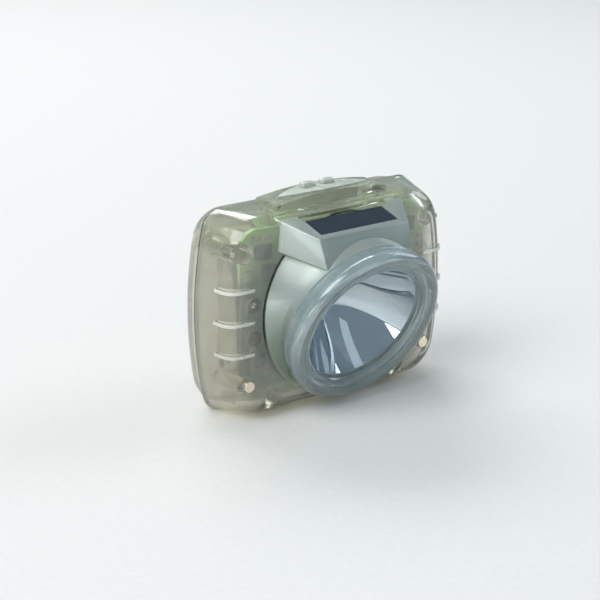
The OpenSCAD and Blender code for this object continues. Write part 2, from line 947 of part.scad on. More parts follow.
// ---- cell ----

module battery_cell() {
    r = 2;
    color([0.75, 0.76, 0.78])
        hull()
            for (x = [-1, 1], z = [0, 1])
                translate([x * (cell_w / 2 - r), cell_front, cell_low + r + z * (cell_h - 2 * r)])
                    rotate([-90, 0, 0]) {
                        translate([0, 0, 0.6])
                            cylinder(h = cell_t - 1.2, r = r, $fn = 24);
                        cylinder(h = cell_t, r = r - 0.6, $fn = 24);
                    }
}

module cell_board() {
    color([0.2, 0.42, 0.26]) {
        translate([-16, cell_front + 1.6, cell_low + cell_h + 0.05])
            cube([32, 1, cell_board_h]);
        for (x = [-9, -3, 4])
            translate([x - 1.5, cell_front + 0.9, cell_low + cell_h + 0.7])
                cube([3, 0.68, 2]);
    }
}

module cell_foam() {
    color([0.25, 0.25, 0.27])
        translate([-cell_w / 2 + 3, cell_back + 0.04, cell_low + 3])
            cube([cell_w - 6, foam_t, cell_h - 6]);
}

// Unit vector along v.
function unit(v) = v / norm(v);

// Direction of a wire at point i: the mean of its two runs.
function heading(p, i) =
    i == 0 ? unit(p[1] - p[0])
    : i == len(p) - 1 ? unit(p[i] - p[i - 1])
    : unit(unit(p[i] - p[i - 1]) + unit(p[i + 1] - p[i]));

// Points eased between the corners of a route, so that a wire bends round them.
function eased(p, cut = 0.3) = concat([p[0]],
    [for (i = [1:len(p) - 2], k = [-1, 1])
        p[i] + k * cut * (k < 0 ? p[i] - p[i - 1] : p[i + 1] - p[i])],
    [p[len(p) - 1]]);

// A wire of radius r swept through points, with eight sides.
module wire(route, r) {
    p = eased(route);
    sides = 8;
    n = len(p);
    ring = [for (i = [0:n - 1]) let (
            t = heading(p, i),
            u = unit(cross(t, abs(t[0]) < 0.8 ? [1, 0, 0] : [0, 0, 1])),
            v = cross(t, u))
        for (k = [0:sides - 1]) p[i] + r * (cos(360 * k / sides) * u + sin(360 * k / sides) * v)];
    walls = [for (i = [0:n - 2], k = [0:sides - 1]) let (
            a = i * sides + k,
            b = i * sides + (k + 1) % sides)
        [a, a + sides, b + sides, b]];
    polyhedron(ring, concat(walls, [
        [for (k = [0:sides - 1]) k],
        [for (k = [sides - 1:-1:0]) (n - 1) * sides + k]
    ]));
}

module cell_wires() {
    top = cell_low + cell_h + cell_board_h;
    plug_z = mid_z - 12;
    for (i = [0, 1]) {
        x = 13 - 1.7 * i;
        plug_x = 26.9 - 1.7 * i;
        drop = 1.3 * i;
        color(i == 0 ? [0.75, 0.1, 0.08] : [0.08, 0.08, 0.08])
            wire([
                [x, cell_front + 1.5, top - 1.3 - drop], [x, cell_front - 1.6, top - 1.7 - drop],
                [x + 6, cell_front - 2.6, top - 4 - drop], [plug_x, board_back + 5.4, top - 13],
                [plug_x, board_back + 5.4, plug_z + 3], [plug_x, board_back + 5, plug_z],
                [plug_x, board_back + 2.2, plug_z]
            ], 0.55);
    }
}

module led_wires() {
    for (s = [-1, 1])
        color(s < 0 ? [0.75, 0.1, 0.08] : [0.08, 0.08, 0.08])
            wire([
                [s * 13, board_back + 3.2, board_high - 7], [s * 20, board_back + 2.6, board_high - 7],
                [s * 23, board_back + 1.6, board_high - 6], [s * 23, board_back + 0.1, board_high - 6]
            ], 0.5);
}

// ---- fasteners and clip ----

module housing_screws() {
    color([0.62, 0.63, 0.64])
        for (p = screw_spots)
            difference() {
                union() {
                    along_y(p[0], p[1], screw_tip_y, screw_head_y, screw_r);
                    along_y(p[0], p[1], screw_head_y - screw_head_t + fit, screw_head_y, screw_head_r);
                }
                translate([p[0] - 0.25, screw_head_y - 0.7, p[1] - 1.3])
                    cube([0.5, 2, 2.6]);
                translate([p[0] - 1.3, screw_head_y - 0.7, p[1] - 0.25])
                    cube([2.6, 2, 0.5]);
            }
}

module helmet_clip() {
    y0 = rear_y + clip_pad_t + 0.02;
    bend = clip_gap - clip_pad_t - 0.02;
    low = clip_top_z - clip_drop;
    color([0.55, 0.57, 0.58])
        difference() {
            translate([-clip_w / 2, 0, 0])
                rotate([90, 0, 90])
                    linear_extrude(clip_w)
                        union() {
                            translate([y0, clip_top_z - clip_flange_h])
                                square([clip_t, clip_flange_h - 2]);
                            polygon([
                                [y0, clip_top_z - 2], [y0 + clip_t, clip_top_z - 2],
                                [y0 + clip_t + 0.6, clip_top_z - clip_t], [y0 + bend, clip_top_z - clip_t],
                                [y0 + bend, low + 3], [y0 + bend + clip_flare, low],
                                [y0 + bend + clip_t + clip_flare, low], [y0 + bend + clip_t, low + 3],
                                [y0 + bend + clip_t, clip_top_z - 0.6],
                                [y0 + bend + clip_t - 0.6, clip_top_z], [y0 + 0.8, clip_top_z]
                            ]);
                        }
            for (s = [-1, 1]) {
                along_y(s * clip_screw_x, clip_screw_z, rear_y, y0 + 9, clip_screw_r + 0.1);
                along_y(s * clip_screw_x, clip_screw_z, y0 + clip_t + 0.2, y0 + 9, clip_head_r + 0.4);
            }
        }
}

module clip_screws() {
    y0 = rear_y + clip_pad_t + 0.02 + clip_t + 0.02;
    color([0.62, 0.63, 0.64])
        for (s = [-1, 1])
            difference() {
                union() {
                    along_y(s * clip_screw_x, clip_screw_z, rear_y - wall + 0.8, y0 + 0.4, clip_screw_r);
                    along_y(s * clip_screw_x, clip_screw_z, y0, y0 + clip_head_t, clip_head_r);
                }
                translate([s * clip_screw_x - 0.3, y0 + 0.7, clip_screw_z - 1.6])
                    cube([0.6, 2, 3.2]);
                translate([s * clip_screw_x - 1.6, y0 + 0.7, clip_screw_z - 0.3])
                    cube([3.2, 2, 0.6]);
            }
}

front_housing();
rear_housing();
housing_gasket();
bezel_ring();
lens();
lens_seal();
reflector();
led_emitter();
led_board();
led_board_screws();
heat_sink();
display_window();
display_module();
display_board();
display_cable();
main_board();
driver_chips();
power_inductor();
chip_parts();
cell_connector();
board_screws();
switch_board();
switch_cans();
switch_screws();
lamp_plunger();
lamp_key();
display_plunger();
display_key();
key_pad();
charging_studs();
stud_seals();
stud_nuts();
solder_tags();
battery_cell();
cell_board();
cell_foam();
cell_wires();
led_wires();
housing_screws();
helmet_clip();
clip_screws();
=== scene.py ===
import math

import bmesh
import bpy
from mathutils import Matrix, Quaternion, Vector


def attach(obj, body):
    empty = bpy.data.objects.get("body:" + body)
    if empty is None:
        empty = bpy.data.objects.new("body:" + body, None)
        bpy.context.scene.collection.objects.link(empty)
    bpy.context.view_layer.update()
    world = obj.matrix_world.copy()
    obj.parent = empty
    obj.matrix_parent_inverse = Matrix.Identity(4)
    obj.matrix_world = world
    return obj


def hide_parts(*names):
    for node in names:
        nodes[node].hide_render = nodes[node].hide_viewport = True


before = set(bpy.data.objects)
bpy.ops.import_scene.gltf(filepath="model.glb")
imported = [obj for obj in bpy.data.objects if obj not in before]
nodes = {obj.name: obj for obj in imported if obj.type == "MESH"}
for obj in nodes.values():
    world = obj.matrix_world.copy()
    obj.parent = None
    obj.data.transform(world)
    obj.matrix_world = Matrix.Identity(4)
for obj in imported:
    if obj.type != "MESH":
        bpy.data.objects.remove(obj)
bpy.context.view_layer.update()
mm = 0.001

studio = {
    "floorSize": 3.2,                              # metres
    "floorColour": "#D9D8D4",
    "floorShade": "#D6D5D1",
    "worldColour": "#8494A0",                      # a dim room, which the mirror shows as slate
    "worldStrength": 0.85,
    "cameraPlace": (-0.29930, -0.38108, 0.19480),  # metres
    "cameraRight": (0.7996, -0.6005, 0.0102),
    "cameraUp": (0.1875, 0.2658, 0.9456),
    "focalLength": 111.7,                          # mm on a 36 mm wide sensor
}


def linear(code):  # sRGB hex to the linear values that shaders take
    parts = [int(code[i:i + 2], 16) / 255 for i in (1, 3, 5)]
    return tuple(c / 12.92 if c <= 0.04045 else ((c + 0.055) / 1.055) ** 2.4
                 for c in parts) + (1.0,)


def addNode(tree, kind, inputs=None, **settings):
    # one node with its settings, values and links; a value in words is an sRGB hex colour
    node = tree.nodes.new(kind)
    for name, value in settings.items():
        setattr(node, name, value)
    for name, value in (inputs or {}).items():
        if isinstance(value, bpy.types.NodeSocket):
            tree.links.new(value, node.inputs[name])
        else:
            node.inputs[name].default_value = linear(value) if isinstance(value, str) else value
    return node


def newMaterial(name):
    material = bpy.data.materials.new(name)
    material.use_nodes = True
    tree = material.node_tree
    tree.nodes.clear()
    spot = addNode(tree, "ShaderNodeTexCoord").outputs["Object"]
    return material, tree, spot


def finishMaterial(material, shader):
    tree = material.node_tree
    out = addNode(tree, "ShaderNodeOutputMaterial")
    tree.links.new(shader, out.inputs["Surface"])
    return material


def speckle(tree, spot, grain, stretch=(1, 1, 1), detail=3.0, rough=0.5):
    # specks of one size in metres, drawn out where asked for
    where = addNode(tree, "ShaderNodeMapping", {"Vector": spot, "Scale": stretch}).outputs["Vector"]
    return addNode(tree, "ShaderNodeTexNoise", {
        "Vector": where, "Scale": 1 / grain, "Detail": detail, "Roughness": rough}).outputs["Fac"]


def shade(tree, value, start, end, first, second):
    # the first colour where the value is at its start, the second where it is at its end
    share = addNode(tree, "ShaderNodeMapRange", {
        "Value": value, "From Min": start, "From Max": end}).outputs["Result"]
    return addNode(tree, "ShaderNodeMix", {0: share, 6: first, 7: second},
                   data_type="RGBA").outputs[2]


def mask(tree, ramps):  # each ramp is 0 at its first number and 1 at its second; all are multiplied
    product = 1.0
    for value, zeroAt, oneAt in ramps:
        ramp = addNode(tree, "ShaderNodeMapRange", {
            "Value": value, "From Min": zeroAt, "From Max": oneAt}).outputs["Result"]
        product = addNode(tree, "ShaderNodeMath", {0: ramp, 1: product},
                          operation="MULTIPLY").outputs[0]
    return product


def away(tree, value, centre=0.0):  # how far a value is from a centre, on either side
    offset = addNode(tree, "ShaderNodeMath", {0: value, 1: centre}, operation="SUBTRACT").outputs[0]
    return addNode(tree, "ShaderNodeMath", {0: offset}, operation="ABSOLUTE").outputs[0]


def litThrough(tree, glass, tint):  # light passes on, tinted, so that the inner parts are lit
    passing = addNode(tree, "ShaderNodeBsdfTransparent", {"Color": tint}).outputs["BSDF"]
    forShadow = addNode(tree, "ShaderNodeLightPath").outputs["Is Shadow Ray"]
    return addNode(tree, "ShaderNodeMixShader", {
        0: forShadow, 1: glass, 2: passing}).outputs["Shader"]


def solid(name, light, dark, grain, rough, metallic=0.0, relief=0.0, stretch=(1, 1, 1), **extra):
    # an opaque finish: two close colours in a fine pattern, uneven gloss and, if asked for, relief
    material, tree, spot = newMaterial(name)
    pattern = speckle(tree, spot, grain, stretch)
    values = {
        "Base Color": shade(tree, pattern, 0.35, 0.65, dark, light),
        "Roughness": addNode(tree, "ShaderNodeMapRange", {
            "Value": pattern, "From Min": 0.3, "From Max": 0.7,
            "To Min": rough[0], "To Max": rough[1]}).outputs["Result"],
        "Metallic": metallic,
    }
    if relief:
        values["Normal"] = addNode(tree, "ShaderNodeBump", {
            "Height": pattern, "Distance": relief, "Strength": 0.5}).outputs["Normal"]
    values.update(extra)
    shader = addNode(tree, "ShaderNodeBsdfPrincipled", values).outputs["BSDF"]
    return finishMaterial(material, shader)


moulding = {"flow": 0.004, "scuff": 0.0012, "scuffStretch": (1, 1, 6), "flowRelief": 0.00006}


def mouldedSurface(tree, spot, rough, flowGrain):
    # what moulding and use leave on a clear plastic: slow waves, and scuffs that vary its gloss
    flow = speckle(tree, spot, flowGrain, detail=2.0)
    scuffs = speckle(tree, spot, moulding["scuff"], moulding["scuffStretch"], 4.0, 0.6)
    gloss = addNode(tree, "ShaderNodeMapRange", {
        "Value": scuffs, "From Min": 0.42, "From Max": 0.72,
        "To Min": rough[0], "To Max": rough[1]}).outputs["Result"]
    normal = addNode(tree, "ShaderNodeBump", {
        "Height": flow, "Distance": moulding["flowRelief"], "Strength": 0.35}).outputs["Normal"]
    return flow, gloss, normal


def clearPlastic(name, tint, shadowTint, rough, clear, index=1.58, flowGrain=moulding["flow"]):
    material, tree, spot = newMaterial(name)
    flow, gloss, normal = mouldedSurface(tree, spot, rough, flowGrain)
    glass = addNode(tree, "ShaderNodeBsdfPrincipled", {
        "Base Color": shade(tree, flow, 0.3, 0.7, tint, shadowTint),
        "Roughness": gloss,
        "IOR": index,
        "Transmission Weight": clear,
        "Normal": normal,
    }).outputs["BSDF"]
    return finishMaterial(material, litThrough(tree, glass, shadowTint))


def housingRibs(tree, split, across, h):  # 1 on the ribs down both sides, which are milky and painted near white, partly as a painted highlight
    rise = addNode(tree, "ShaderNodeMath", {0: split["Z"], 1: h["ribStart"]},
                   operation="SUBTRACT").outputs[0]
    pitches = addNode(tree, "ShaderNodeMath", {0: rise, 1: h["ribPitch"]},
                      operation="DIVIDE").outputs[0]
    fromRib = addNode(tree, "ShaderNodeMath", {0: pitches, 1: 0.5}, operation="PINGPONG").outputs[0]
    thickness = h["ribThick"] / h["ribPitch"]
    return mask(tree, [
        (fromRib, 0.62 * thickness, 0.5 * thickness),
        (across, h["ribInner"], h["ribInner"] + 0.0004),
        (split["Z"], h["ribStart"] - 0.001, h["ribStart"] - 0.0009),
        (split["Z"], h["ribEnd"] + 0.0001, h["ribEnd"]),
        (split["Y"], h["ribRear"] + 0.0004, h["ribRear"]),
    ])


def footCreaseShade(tree, spot, split, h):
    # 1 on the painted shade line at the barrel's foot, which fades low down
    fromFoot = addNode(tree, "ShaderNodeVectorMath", {
        0: spot, 1: (0, h["frontFace"], h["flareHeight"])}, operation="DISTANCE").outputs["Value"]
    return mask(tree, [
        (away(tree, fromFoot, h["flareRadius"]), h["creaseWidth"], h["creaseWidth"] * 0.5),
        (away(tree, split["Y"], h["frontFace"]), 0.0007, 0.0004),
        (split["Z"], *h["creaseFade"]),
    ])


def housingPlastic(h):
    # clear where the body is, and frosted silver-grey on the barrel and hood
    material, tree, spot = newMaterial(h["name"])
    split = addNode(tree, "ShaderNodeSeparateXYZ", {"Vector": spot}).outputs
    flow, gloss, normal = mouldedSurface(tree, spot, h["rough"], moulding["flow"])
    forward = mask(tree, [(split["Y"], h["frontFace"] + 0.0002, h["frontFace"] - 0.0008)])
    ribs = housingRibs(tree, split, away(tree, split["X"]), h)
    crease = footCreaseShade(tree, spot, split, h)

    clear = shade(tree, flow, 0.3, 0.7, h["tint"], h["deepTint"])
    clear = shade(tree, split["Z"], *h["topRise"], clear, h["topTint"])
    # painted shade: the frost is darker and greener low down, paler and silver higher up
    frost = shade(tree, split["Z"], *h["frostRise"], h["frostShadedLow"], h["frost"])
    colour = shade(tree, forward, 0, 1, clear, frost)
    # the ribs' near-white colour is partly their frosting and partly a painted highlight
    colour = shade(tree, ribs, 0, 1, colour, h["ribFrostAndHighlight"])
    # painted shade: a dark line where the barrel's flare meets the front face
    colour = shade(tree, crease, 0, 1, colour, h["creaseShadeColour"])

    frostGloss = addNode(tree, "ShaderNodeMapRange", {
        "Value": flow, "From Min": 0.3, "From Max": 0.7,
        "To Min": h["frostRough"][0], "To Max": h["frostRough"][1]}).outputs["Result"]
    frostClear = addNode(tree, "ShaderNodeMapRange", {
        "Value": split["Z"], "From Min": h["frostRise"][0], "From Max": h["frostRise"][1],
        "To Min": h["frostedLow"], "To Max": h["frosted"]}).outputs["Result"]
    milky = forward
    for other in (ribs, crease):
        milky = addNode(tree, "ShaderNodeMath", {0: milky, 1: other},
                        operation="MAXIMUM").outputs[0]

    glass = addNode(tree, "ShaderNodeBsdfPrincipled", {
        "Base Color": colour,
        "Roughness": addNode(tree, "ShaderNodeMix", {
            0: forward, 2: gloss, 3: frostGloss}).outputs[0],
        "Metallic": addNode(tree, "ShaderNodeMath", {  # the mirror's back shows through as a sheen
            0: forward, 1: h["silver"]}, operation="MULTIPLY").outputs[0],
        "IOR": h["index"],
        "Transmission Weight": addNode(tree, "ShaderNodeMix", {
            0: milky, 2: h["clear"], 3: frostClear}).outputs[0],
        "Normal": normal,
    }).outputs["BSDF"]
    return finishMaterial(material, litThrough(tree, glass, h["deepTint"]))


lampAxis = {"centre": Vector((0, -14.476 * mm, 25.4 * mm)), "tilt": math.radians(21)}
axisTurn = math.radians(90) + lampAxis["tilt"]
axisPlace = Matrix.Translation(lampAxis["centre"]) @ Matrix.Rotation(axisTurn, 4, "X")


def lampSpace(tree, spot):  # where a spot is, from the bezel's centre and along the lamp's axis
    centred = addNode(tree, "ShaderNodeMapping", {
        "Vector": spot, "Location": tuple(-c for c in lampAxis["centre"])}).outputs["Vector"]
    return addNode(tree, "ShaderNodeVectorRotate", {
        "Vector": centred, "Angle": -axisTurn}, rotation_type="X_AXIS").outputs["Vector"]


def lampRadius(tree, spot):
    flat = addNode(tree, "ShaderNodeVectorMath", {
        0: lampSpace(tree, spot), 1: (1, 1, 0)}, operation="MULTIPLY").outputs["Vector"]
    return addNode(tree, "ShaderNodeVectorMath", {0: flat}, operation="LENGTH").outputs["Value"]


def mirrorCoat(edge):  # vacuum-metallised plastic: a dark bright mirror with a faint orange peel
    material, tree, spot = newMaterial("metallisedPlastic")
    peel = speckle(tree, spot, 0.0035, detail=2.0)
    mist = speckle(tree, spot, 0.0006)
    coated = mask(tree, [(lampRadius(tree, spot), edge + 0.00006, edge + 0.00001)])
    coat = shade(tree, mist, 0.3, 0.7, "#D9DFE3", "#E6EAED")
    mirrorGloss = addNode(tree, "ShaderNodeMapRange", {
        "Value": mist, "From Min": 0.3, "From Max": 0.7,
        "To Min": 0.02, "To Max": 0.05}).outputs["Result"]
    bareGloss = addNode(tree, "ShaderNodeMapRange", {
        "Value": coated, "To Min": 0.4, "To Max": 0.0}).outputs["Result"]
    shader = addNode(tree, "ShaderNodeBsdfPrincipled", {
        "Base Color": shade(tree, coated, 0, 1, "#DCE3E4", coat),  # the flange is left bare
        "Metallic": coated,
        "Roughness": addNode(tree, "ShaderNodeMath", {0: mirrorGloss, 1: bareGloss},
                             operation="ADD").outputs[0],
        "Normal": addNode(tree, "ShaderNodeBump", {
            "Height": peel, "Distance": 0.00003, "Strength": 0.12}).outputs["Normal"],
    }).outputs["BSDF"]
    return finishMaterial(material, shader)


def circuitBoard(b):  # epoxy board: solder mask over copper tracks that show as paler lines
    material, tree, spot = newMaterial(b["name"])
    split = addNode(tree, "ShaderNodeSeparateXYZ", {"Vector": spot}).outputs
    # painted shade: the board and its tracks are darker and greyer low down
    body = shade(tree, split["Z"], *b["rise"], b["shadedLowMask"], b["mask"])
    copper = shade(tree, split["Z"], *b["rise"], b["shadedLowTrace"], b["trace"])
    if "shadeStrip" in b:  # a dark strip of painted shade down both ends, below the pale part
        strip = mask(tree, [
            (away(tree, split["X"]), b["shadeStripStart"] - 0.0003, b["shadeStripStart"]),
            (split["Z"], *b["shadeStripFade"]),
        ])
        body = shade(tree, strip, 0, 1, body, b["shadeStrip"])
        copper = shade(tree, strip, 0, 1, copper, b["shadeStrip"])
    onBoard = addNode(tree, "ShaderNodeMapping", {
        "Vector": spot, "Rotation": (math.radians(-90), 0, 0)}).outputs["Vector"]
    track = addNode(tree, "ShaderNodeTexBrick", {
        "Vector": onBoard, "Color1": "#000000", "Color2": "#000000", "Mortar": "#FFFFFF",
        "Scale": 1.0, "Brick Width": b["pitch"], "Row Height": b["pitch"] * 0.32,
        "Mortar Size": b["pitch"] * 0.035, "Mortar Smooth": 0.3}, offset=0.37).outputs["Color"]
    cloud = speckle(tree, spot, 0.004)
    clouded = addNode(tree, "ShaderNodeMapRange", {
        "Value": cloud, "From Min": 0.3, "From Max": 0.7, "To Max": 0.35}).outputs["Result"]
    body = shade(tree, clouded, 0, 1, body, copper)
    shader = addNode(tree, "ShaderNodeBsdfPrincipled", {
        "Base Color": shade(tree, track, 0, 1, body, copper),
        "Roughness": addNode(tree, "ShaderNodeMapRange", {
            "Value": cloud, "To Min": 0.28, "To Max": 0.42}).outputs["Result"],
        "Coat Weight": 0.3,
        "Normal": addNode(tree, "ShaderNodeBump", {
            "Height": track, "Distance": 0.00004, "Strength": 0.4}).outputs["Normal"],
    }).outputs["BSDF"]
    return finishMaterial(material, shader)


def turnedMetal(name, light, dark, rough, ringPitch):  # fine rings from the lathe
    material, tree, spot = newMaterial(name)
    rings = addNode(tree, "ShaderNodeTexWave", {
        "Vector": lampSpace(tree, spot), "Scale": 1 / ringPitch / 20, "Distortion": 0.3},
        wave_type="RINGS", rings_direction="Z").outputs["Fac"]
    shader = addNode(tree, "ShaderNodeBsdfPrincipled", {
        "Base Color": shade(tree, rings, 0, 1, dark, light),
        "Metallic": 1.0,
        "Roughness": addNode(tree, "ShaderNodeMapRange", {
            "Value": rings, "To Min": rough[0], "To Max": rough[1]}).outputs["Result"],
        "Normal": addNode(tree, "ShaderNodeBump", {
            "Height": rings, "Distance": 0.00002, "Strength": 0.3}).outputs["Normal"],
    }).outputs["BSDF"]
    return finishMaterial(material, shader)


housing = {
    "name": "clearPolycarbonate", "index": 1.5,
    "tint": "#E8E8DF", "deepTint": "#D6D5C9", "topTint": "#D6DBCB", "topRise": (0.043, 0.052),
    # the frost is painted darker and greener low down as shade
    "frost": "#AEB8B4", "frostShadedLow": "#82967C", "frostRise": (0.008, 0.036),
    "frostRough": (0.33, 0.37), "silver": 0.36,
    "clear": 0.86, "frosted": 0.42, "frostedLow": 0.66, "rough": (0.07, 0.16),
    "frontFace": -3.776 * mm, "flareHeight": 28.5 * mm, "flareRadius": 26.0 * mm,
    # a line of painted shade runs round the barrel's foot
    "creaseWidth": 0.35 * mm, "creaseShadeColour": "#28322F", "creaseFade": (0.013, 0.024),
    # the ribs are painted near white, partly for their frosting and partly as a painted highlight
    "ribFrostAndHighlight": "#F0F1EA", "ribStart": 19.9 * mm, "ribPitch": 9.0 * mm, "ribThick": 0.85 * mm,
    "ribInner": 28.9 * mm, "ribEnd": 39.0 * mm, "ribRear": 2.4 * mm,
}
mainBoard = {
    "name": "paleSolderMask", "pitch": 0.0034, "rise": (0.035, 0.044),
    # the board is painted darker and greyer low down as shade
    "mask": "#ABCF9F", "shadedLowMask": "#67877A", "trace": "#C6E0B8", "shadedLowTrace": "#86A48F",
    # a dark strip of painted shade down both ends, low down
    "shadeStrip": "#3C4F49", "shadeStripStart": 0.0284, "shadeStripFade": (0.0404, 0.0368),
}
cellBoard = {
    "name": "darkSolderMask", "pitch": 0.003, "rise": (0.035, 0.044),
    "mask": "#1F5A38", "shadedLowMask": "#1F5A38", "trace": "#3F7F54", "shadedLowTrace": "#3F7F54",
}
silicone = {"Subsurface Radius": (1, 1, 1), "Subsurface Scale": 0.0015}
# the bezel and the reflector along the lamp's axis, in mm
bezelRing = {
    "beadRadius": 2.2, "beadSteps": 28, "outer": 24.1, "skirt": 23.1, "skirtBack": -4.6,
    "skirtChamfer": 0.2, "inner": 21.65, "opening": 18.0, "lipTop": 1.4, "lipEdge": 0.5,
    "lensTop": -0.2,
    # how far out from the opening and how far below the lip's top: a shallow groove and a slope
    "lipSteps": ((2.0, 0.05), (1.75, 0.35), (1.5, 0.35), (1.25, 0.05), (0.9, 0.05), (0.4, 0.45)),
}
bowl = {
    "rim": 17.9, "throat": 3.4, "depth": 16.0, "rimHeight": -2.25, "wall": 1.1,
    "flangeOuter": 20.45, "flange": 1.0, "steps": 40, "wallFrom": 4,
}

finishes = {
    # moulded polycarbonate, grey-green in the thick: what lies behind shows, edges catch the light
    "clearHousing": housingPlastic(housing),
    "rearHousing": clearPlastic("clearPolycarbonateRear", "#DAD9CE", "#C9C7BA", (0.10, 0.22), 0.66),
    # smoke-tinted polycarbonate: blue-grey, bright lines along its bead
    "bezel": clearPlastic("smokedPolycarbonate", "#C6D1D2", "#B4C1C3", (0.03, 0.10), 0.74),
    # hard-coated polycarbonate: all but invisible, with a sharp gloss
    "lens": clearPlastic("lensPolycarbonate", "#F4F8FA", "#EFF4F6", (0.0, 0.03), 1.0, 1.2, 0.02),
    "reflector": mirrorCoat(bowl["rim"] * mm),
    # yellow phosphor under clear silicone
    "led": solid("phosphorSilicone", "#F2D65A", "#D9B43A", 0.0004, (0.2, 0.35),
                 **{"Coat Weight": 0.8}),
    "ledBoard": solid("whiteSolderMask", "#EDEEEA", "#D8DAD6", 0.0015, (0.35, 0.5)),
    # bright zinc plating: cool silver, slightly clouded
    "zinc": solid("zincPlate", "#C3C6C8", "#9A9DA0", 0.0006, (0.22, 0.38), 1.0, 0.00001),
    "blackSteel": solid("blackenedSteel", "#3A3B3D", "#1E1F21", 0.0006, (0.3, 0.45), 0.8),
    # spun aluminium: pale, with fine rings about its axis
    "aluminium": turnedMetal("spunAluminium", "#C9CFD0", "#AAB1B3", (0.28, 0.42), 0.0006),
    "displayGlass": solid("displayGlass", "#1C2732", "#131C25", 0.006, (0.04, 0.09), 0.0, 0.0,
                          **{"Coat Weight": 0.6, "IOR": 1.5}),
    "lcd": solid("liquidCrystalCell", "#3A4643", "#2B3533", 0.0012, (0.3, 0.4)),
    "board": circuitBoard(mainBoard),
    "cellBoard": circuitBoard(cellBoard),
    "flex": solid("polyimideFilm", "#C98D35", "#A96C22", 0.002, (0.2, 0.35)),
    "chip": solid("mouldingCompound", "#2A2B2C", "#1A1B1C", 0.0004, (0.45, 0.6), 0.0, 0.00002),
    "ferrite": solid("ferriteCore", "#4A4B4D", "#333436", 0.0004, (0.5, 0.65)),
    "ceramic": solid("ceramicChip", "#C9B08A", "#8E8A84", 0.0011, (0.35, 0.5)),
    "nylon": solid("naturalNylon", "#E8E4D6", "#D6D1C0", 0.002, (0.4, 0.5), 0.0, 0.0,
                   **{**silicone, "Subsurface Weight": 0.2, "Subsurface Scale": 0.001}),
    # translucent silicone: soft, milky, faintly green from the tint of the housing
    "key": solid("keySilicone", "#B9C0B2", "#A5AD9F", 0.0018, (0.25, 0.38), 0.0, 0.00002,
                 **{**silicone, "Subsurface Weight": 0.35}),
    "pad": solid("padSilicone", "#B3BAAE", "#9BA397", 0.0025, (0.38, 0.5), 0.0, 0.00003,
                 **{**silicone, "Subsurface Weight": 0.3}),
    # flash gold on turned brass: warm white at this size
    "stud": solid("goldFlash", "#FBF1DC", "#EFDDB8", 0.0005, (0.16, 0.28), 1.0),
    "brass": solid("turnedBrass", "#D9BC74", "#B8954C", 0.0005, (0.22, 0.35), 1.0),
    # aluminium laminate pouch: dull silver with creases
    "pouch": solid("pouchFoil", "#C9C7BE", "#ADABA2", 0.006, (0.38, 0.55), 0.55, 0.0003,
                   (1, 1, 0.4)),
    "foam": solid("closedCellFoam", "#2B2C2E", "#17181A", 0.0006, (0.85, 0.95), 0.0, 0.0001),
    "redWire": solid("redSilicone", "#B3221C", "#8F1612", 0.001, (0.35, 0.5)),
    "blackWire": solid("blackSilicone", "#232323", "#151515", 0.001, (0.35, 0.5)),
    # rolled stainless strip: long fine scratches along its length
    "strip": solid("brushedStainless", "#B4B7B8", "#A2A6A8", 0.0004, (0.26, 0.36), 1.0, 0.0,
                   (1, 1, 0.02)),
    "rubber": solid("nitrileRubber", "#2A2D2B", "#181A19", 0.0008, (0.5, 0.68), 0.0, 0.00003),
    "switch": solid("stampedSteel", "#D0D2D2", "#A9ACAD", 0.0012, (0.25, 0.4), 1.0),
}
print("finishes made:", len(finishes))


def smoothAngle(mesh, angle):  # soft across shallow edges, hard across sharp ones
    work = bmesh.new()
    work.from_mesh(mesh)
    for face in work.faces:
        face.smooth = True
    for edge in work.edges:
        edge.smooth = len(edge.link_faces) == 2 and edge.calc_face_angle(math.pi) < angle
    work.to_mesh(mesh)
    work.free()


def mount(obj, body, finish):
    obj.data.materials.clear()
    for name in finish if isinstance(finish, (list, tuple)) else [finish]:
        obj.data.materials.append(finishes[name])
    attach(obj, body)
    return obj


def linked(mesh, name):
    obj = bpy.data.objects.new(name, mesh)
    bpy.context.scene.collection.objects.link(obj)
    return obj


def cleaned(node, finish, body="lamp", angle=32, soften=0.0, merge=0.004, flat=True):
    # a merged copy of a CAD node, with flat faces joined up and, if asked for, its edges rounded
    mesh = nodes[node].data.copy()
    mesh.name = node + "Skin"
    work = bmesh.new()
    work.from_mesh(mesh)
    bmesh.ops.remove_doubles(work, verts=work.verts, dist=merge * mm)
    if flat:
        bmesh.ops.dissolve_limit(work, angle_limit=math.radians(0.4), verts=work.verts,
                                 edges=work.edges, use_dissolve_boundaries=False)
    work.to_mesh(mesh)
    work.free()
    obj = linked(mesh, node + "_skin")
    if soften:
        edges = obj.modifiers.new("softEdges", "BEVEL")
        edges.width = soften * mm
        edges.segments = 2
        edges.limit_method = "ANGLE"
        edges.angle_limit = math.radians(40)
        edges.harden_normals = False
    smoothAngle(mesh, math.radians(angle))
    mount(obj, body, finish)
    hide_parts(node)
    return obj


def turned(name, profile, steps=128):
    # a closed profile of (radius, height) in mm, spun about the lamp's axis
    work = bmesh.new()
    ring = [work.verts.new((r * mm, 0, z * mm)) for r, z in profile]
    edges = [work.edges.new((ring[i], ring[(i + 1) % len(ring)])) for i in range(len(ring))]
    bmesh.ops.spin(work, geom=ring + edges, cent=(0, 0, 0), axis=(0, 0, 1), angle=math.tau,
                   steps=steps, use_merge=True)
    bmesh.ops.remove_doubles(work, verts=work.verts, dist=0.0005 * mm)
    bmesh.ops.dissolve_degenerate(work, edges=work.edges, dist=0.0005 * mm)
    bmesh.ops.recalc_face_normals(work, faces=work.faces)
    bmesh.ops.transform(work, matrix=axisPlace, verts=work.verts)
    mesh = bpy.data.meshes.new(name)
    work.to_mesh(mesh)
    work.free()
    return linked(mesh, name)


